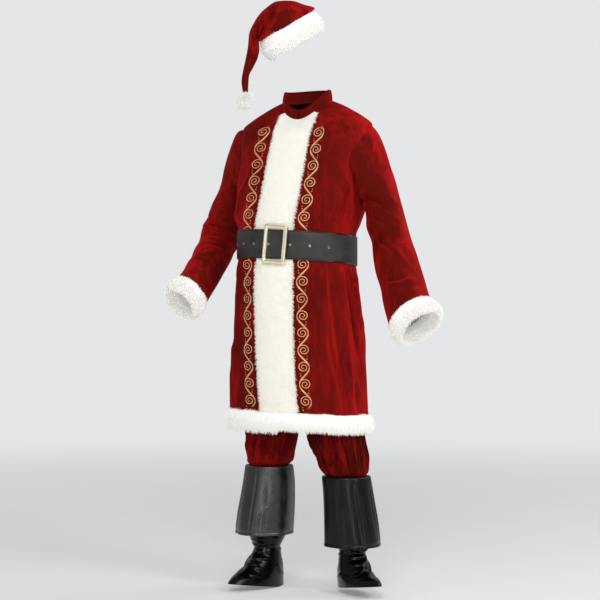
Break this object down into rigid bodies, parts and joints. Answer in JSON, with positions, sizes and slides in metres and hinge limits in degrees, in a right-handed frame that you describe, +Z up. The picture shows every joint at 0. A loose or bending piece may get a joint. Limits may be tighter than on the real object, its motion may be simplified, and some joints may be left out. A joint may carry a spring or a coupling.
{
  "type": "santa suit",
  "caption": "Santa suit worn hollow: floppy fur-banded hat, fur-trimmed velvet coat with a wide buckled belt, matching trousers and glossy boot tops with turned-down cuffs.",
  "frame": {"origin": "middle of the neck at the top of the shoulders, where the wearer's shoulders carry the coat", "axes": "+Z up the standing wearer, -Y the way the wearer faces, +X to the wearer's left"},
  "size_m": [0.9022, 0.3991, 1.8085],
  "materials": {
    "velvet": "crushed-pile red velvet",
    "fur": "off-white long-pile plush",
    "vinyl": "glossy black vinyl",
    "belt_leather": "semi-matte black leather",
    "brass": "polished"
  },
  "bodies": {
    "root": {"belt_buckle": "brass", "belt_strap": "belt_leather", "boot_cover_left": "vinyl", "boot_cover_right": "vinyl", "boot_cuff_left": "vinyl", "boot_cuff_right": "vinyl", "coat_back": "velvet", "coat_collar": "velvet", "coat_front_left": "velvet", "coat_front_right": "velvet", "cuff_fur_left": "fur", "cuff_fur_right": "fur", "fur_front_panel": "fur", "fur_hem": "fur", "hat_band": "fur", "hat_crown": "velvet", "hat_pompom": "fur", "sleeve_left": "velvet", "sleeve_right": "velvet", "trouser_back_left": "velvet", "trouser_back_right": "velvet", "trouser_front_left": "velvet", "trouser_front_right": "velvet", "trouser_waistband": "velvet"}
  },
  "joints": []
}
